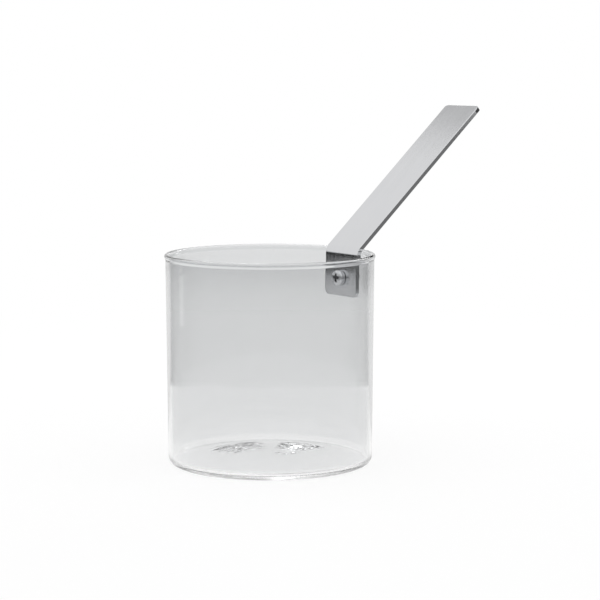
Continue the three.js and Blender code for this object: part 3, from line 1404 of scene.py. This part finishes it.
    def _ring(self, ring: Ring, finish: Finish) -> None:
        """A ring on the screw with rounded edges, flat or hollowed on either side.

        The section is a rounded rectangle of radius and place along X: each corner is a quarter round, laid
        off from the face that it belongs to.

        Args:
            ring: The ring.
            finish: What it is made of.
        """
        low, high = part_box(ring.node)
        edge = ring.edge
        inner = self.bore + edge
        outer = (high.z - low.z) / 2 - edge
        fill = np.linspace(0.0, 1.0, ARC_ROWS)[1:-1]
        flat = np.full(fill.size, QUARTER)
        quarter = np.linspace(0.0, QUARTER, ARC_ROWS)
        rise, over, back, down = (quarter + turn * QUARTER for turn in (-1, 0, 1, 2))
        tilt = np.concatenate([rise, over, flat, back, down, flat + np.pi])[:, None]
        reach = np.concatenate([
            outer + edge * np.cos(rise),
            outer + edge * np.cos(over),
            outer + (inner - outer) * fill,
            inner + edge * np.cos(back),
            inner + edge * np.cos(down),
            inner + (outer - inner) * fill,
        ])[:, None]
        counts = [quarter.size, quarter.size, fill.size] * 2
        on_upper = np.repeat([False, True, True, True, False, False], counts)[:, None]
        lower, upper = self._faces(ring, reach)
        x = np.where(on_upper, upper - edge * (1.0 - np.sin(tilt)), lower + edge * (1.0 + np.sin(tilt)))
        piece = skin(ring.name, bar(x, reach, self.height, self.columns), Ends.JOINED)
        dress(piece, ring.node, finish)

    def _faces(self, ring: Ring, reach: np.ndarray) -> tuple[np.ndarray, np.ndarray]:
        """Faces of a ring: flat, or on the glass the root of its radius squared less y squared.

        Args:
            ring: The ring.
            reach: Distance of its rows from the screw's axis.

        Returns:
            Place of the inner and of the outer face along X.
        """
        low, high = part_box(ring.node)
        angle = span(0.0, TURN, self.columns)[None, :]
        y = reach * np.sin(angle)
        wall = self.vessel.outside(self.height + reach * np.cos(angle))
        lower = np.full_like(y, low.x)
        upper = np.full_like(y, high.x)
        if ring.bears is Bears.INSIDE:
            upper = np.sqrt((wall - self.vessel.wall - self.gap) ** 2 - y * y)
        if ring.bears is Bears.OUTSIDE:
            lower = np.sqrt((wall + self.gap) ** 2 - y * y)
        return lower, upper

    def _nut(self, steel: PolishedSteel) -> None:
        """Hexagon nut with two corners upright, both faces turned down to a cone.

        Its radius in each direction is half the flats over the cosine of the angle from the nearest flat's
        middle, and a cone of thirty degrees takes the corners off each face. Its bore carries a
        shallow helix.

        Args:
            steel: What it is made of.
        """
        low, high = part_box("hex_nut")
        half_flats = (high.y - low.y) / 2
        deep = high.x - low.x
        lead = self.nut_lead
        sixth = TURN / 6
        angle = span(0.0, TURN, self.nut_columns)
        from_flat = (angle - QUARTER + sixth / 2) % sixth - sixth / 2
        side = half_flats / np.cos(from_flat)
        level = np.ones(self.nut_columns)
        face = self.nut_face * half_flats * level
        cone = np.maximum(side - face, 0.0) * math.tan(math.pi / 6)
        steps = np.linspace(deep - lead, lead, int(deep / self.pitch * self.nut_rows))[:, None]
        bore = self.bore - self.nut_thread * self._groove(steps, angle)
        mouth = (self.bore + lead) * level
        along = np.concatenate([
            np.stack([0.0 * level, 0.0 * level, cone, deep - cone, deep * level, deep * level]),
            np.broadcast_to(steps, bore.shape),
        ])
        reach = np.concatenate([np.stack([mouth, face, side, side, face, mouth]), bore])
        net = bar(low.x + along, reach, self.height, self.nut_columns)
        dress(skin("hex_nut_threaded", net, Ends.JOINED), "hex_nut", steel)

    def build(self) -> None:
        """Makes and dresses every piece on the screw's axis."""
        steel = PolishedSteel(Slot.FASTENER.value)
        finishes = {Slot.FASTENER: steel, Slot.SEAL: MilkySilicone(Slot.SEAL.value)}
        self._screw(steel)
        for ring in self.rings:
            self._ring(ring, finishes[ring.slot])
        self._nut(steel)


@dataclass(frozen=True)
class Lamp:
    """A soft lamp aimed at the middle of the pan.

    Attributes:
        name: Name of the lamp.
        bearing: Direction from the pan, in degrees to the right of the camera's own direction.
        rise: Direction above the horizon, in degrees.
        distance: How far away it hangs.
        size: Width and height of the lamp.
        power: Its power in watts.
    """

    name: str
    bearing: float
    rise: float
    distance: float
    size: Pair
    power: float


@dataclass(frozen=True)
class Card:
    """A flat studio card that only reflections show.

    Attributes:
        name: Name of the card.
        bearing: Direction from the pan, in degrees to the right of the camera's own direction.
        distance: How far away its middle is, along the floor.
        height: Height of its middle.
        width: Its width.
        tall: Its height.
        tone: Level of light that it shows.
    """

    name: str
    bearing: float
    distance: float
    height: float
    width: float
    tall: float
    tone: float


@dataclass
class Studio:
    """White floor and surround, soft lamps, cards and the camera of the photograph.

    Attributes:
        distance: Distance of the camera from the pan's axis, along the floor.
        camera_height: Height of the camera.
        pitch: How far the camera looks down, in degrees.
        yaw: How far it looks to the right of the pan's axis, in degrees.
        lens: Focal length of the camera, in millimetres.
        sensor: Width of its sensor, in millimetres.
        view_reach: Distance up to which it sees.
        ambient: Level of the surround as a source of light.
        floor_size: Side of the floor.
        floor_drop: How far the floor lies below the base.
        room_tone: Tone of the floor beyond the table.
        room_turn: Direction in which that floor opens, in degrees to the right of the camera's own.
        lamp_aim: Height at which the lamps are aimed.
        bounces: Times that light may turn, and pass through glass.
        glossy_bounces: Times that it may be mirrored.
        lamps: The lamps.
        cards: The cards.
    """

    azimuth: float = -35.67
    distance: float = 1.174
    camera_height: float = 0.2339
    pitch: float = 6.834
    yaw: float = 0.834
    lens: float = 124.47
    sensor: float = 36.0
    view_reach: float = 100.0
    ambient: float = 0.86
    floor_size: float = 12.0
    floor_drop: float = 0.3 * MM
    room_tone: float = 0.5
    room_turn: float = 3.0
    lamp_aim: float = 0.08
    bounces: int = 32
    glossy_bounces: int = 24
    lamps: tuple[Lamp, ...] = (
        Lamp("back_lamp", bearing=35.0, rise=28.0, distance=1.5, size=(0.5, 0.5), power=3.0),
        Lamp("top_lamp", bearing=-20.0, rise=82.0, distance=1.6, size=(1.2, 1.2), power=3.0),
        Lamp("small_lamp", bearing=-6.0, rise=31.0, distance=1.5, size=(0.22, 0.44), power=0.9),
    )
    # The left card darkens the bend and the tab card lights the tab. The others shade the arm.
    cards: tuple[Card, ...] = (
        Card("left_card", -69.5, distance=0.65, height=0.0485, width=0.13, tall=0.097, tone=0.02),
        Card("side_card", 66.0, distance=0.45, height=0.24, width=0.42, tall=0.12, tone=0.06),
        Card("tab_card", -69.8, distance=0.62, height=0.021, width=0.1, tall=0.042, tone=1.0),
        Card("middle_card", -17.0, distance=0.85, height=0.93, width=0.22, tall=0.3, tone=0.65),
        Card("right_card", 15.5, distance=0.8, height=0.72, width=0.45, tall=0.92, tone=0.08),
    )

    def _bearing(self, degrees: float) -> Vector:
        """Level direction at so many degrees to the right of the camera's own."""
        turn = math.radians(self.azimuth - degrees)
        return Vector((-math.sin(turn), math.cos(turn), 0.0))

    @staticmethod
    def _hang(name: str, data: bpy.types.ID, location: Vector, aim: Vector) -> bpy.types.Object:
        """Puts a camera or a lamp in its place, looking along the aim.

        Args:
            name: Name of the new object.
            data: The camera or the lamp.
            location: Its place.
            aim: Direction in which it looks.

        Returns:
            The object.
        """
        thing = bpy.data.objects.new(name, data)
        bpy.context.scene.collection.objects.link(thing)
        thing.location = location
        thing.rotation_euler = aim.to_track_quat("-Z", "Y").to_euler()
        return thing

    def _camera(self) -> None:
        """Camera where the outline of the photograph puts it."""
        data = bpy.data.cameras.new("camera")
        data.sensor_width = self.sensor
        data.lens = self.lens
        data.clip_end = self.view_reach
        location = self._bearing(0.0) * -self.distance + UP * self.camera_height
        pitch = math.radians(self.pitch)
        aim = self._bearing(self.yaw) * math.cos(pitch) - UP * math.sin(pitch)
        bpy.context.scene.camera = self._hang("camera", data, location, aim)

    def _lamp(self, lamp: Lamp) -> None:
        """Hangs a lamp, aimed at the middle of the pan and out of the camera's sight.

        Args:
            lamp: The lamp.
        """
        data = bpy.data.lights.new(lamp.name, "AREA")
        data.shape = "RECTANGLE"
        data.size, data.size_y = lamp.size
        data.energy = lamp.power
        rise = math.radians(lamp.rise)
        out = self._bearing(lamp.bearing) * math.cos(rise) + UP * math.sin(rise)
        hung = self._hang(lamp.name, data, out * lamp.distance + UP * self.lamp_aim, -out)
        hung.visible_camera = False

    def _sheet(self, name: str, corners: np.ndarray, finish: Finish) -> bpy.types.Object:
        """A flat sheet that belongs to the stage.

        Args:
            name: Name of the sheet.
            corners: Its four corners in order, 4 by 3.
            finish: What it is made of.

        Returns:
            The sheet.
        """
        mesh = bpy.data.meshes.new(name)
        mesh.from_pydata(corners.tolist(), [], [range(len(corners))])
        mesh.materials.append(finish.material())
        sheet = bpy.data.objects.new(name, mesh)
        bpy.context.scene.collection.objects.link(sheet)
        return sheet

    @staticmethod
    def _unlit(sheet: bpy.types.Object) -> None:
        """Keeps a sheet from lighting or shading anything.

        Args:
            sheet: The sheet.
        """
        sheet.visible_camera = False
        sheet.visible_diffuse = False
        sheet.visible_shadow = False
        sheet.data.materials[0].cycles.emission_sampling = "NONE"

    def _card(self, card: Card) -> None:
        """Stands a card upright, facing the pan, where only reflections find it.

        Args:
            card: The card.
        """
        out = self._bearing(card.bearing)
        side = Vector((out.y, -out.x, 0.0)) * (card.width / 2)
        left = out * card.distance - side
        right = out * card.distance + side
        low = UP * (card.height - card.tall / 2)
        high = UP * (card.height + card.tall / 2)
        corners = np.array([left + low, right + low, right + high, left + high])
        self._unlit(self._sheet(card.name, corners, CardFinish(card.name, card.tone)))

    def _level_square(self, level: float) -> np.ndarray:
        """Corners of a level square of the floor's size about the pan's axis.

        Args:
            level: Height of the square.

        Returns:
            The four corners in order, 4 by 3.
        """
        half = self.floor_size / 2
        low = (-half, -half, level), (half, -half, level)
        high = (half, half, level), (-half, half, level)
        return np.array([*low, *high])

    def _floors(self) -> None:
        """The white floor, and just above it the darker one that only reflections show."""
        self._sheet("studio_floor", self._level_square(-self.floor_drop), PaleFloor("studio_floor"))
        ahead = self._bearing(self.room_turn)
        room = RoomFloor("room_floor", self.room_tone, (ahead.x, ahead.y))
        self._unlit(self._sheet("room_floor", self._level_square(-0.5 * self.floor_drop), room))

    def _surround(self) -> None:
        """World that is white behind everything and lights the pan at its own, lower level."""
        world = bpy.data.worlds.new("surround")
        bpy.context.scene.world = world
        world.use_nodes = True
        tree = Tree(world.node_tree)
        level = self.ambient + tree.shows_backdrop() * (1.0 - self.ambient)
        white = tree.node("ShaderNodeBackground", {}, {"Color": opaque(WHITE), "Strength": level})
        tree.node("ShaderNodeOutputWorld", {}, {"Surface": white})

    def build(self) -> None:
        """Sets up the camera, the surround, the floors, the lamps and the cards."""
        scene = bpy.context.scene
        scene.view_settings.view_transform = "Standard"
        scene.cycles.max_bounces = self.bounces
        scene.cycles.transmission_bounces = self.bounces
        scene.cycles.glossy_bounces = self.glossy_bounces
        self._camera()
        self._surround()
        self._floors()
        for lamp in self.lamps:
            self._lamp(lamp)
        for card in self.cards:
            self._card(card)


def main() -> None:
    """Builds the pan on its frame and sets the studio round it."""
    logging.basicConfig(level=logging.INFO, format="%(name)s: %(message)s")
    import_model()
    Studio().build()
    vessel = GlassVessel.from_frame()
    fastening = Fastening.from_frame(vessel)
    vessel.build(fastening.height)
    StripHandle.from_frame().build(fastening.height)
    fastening.build()


if __name__ == "__main__":
    main()
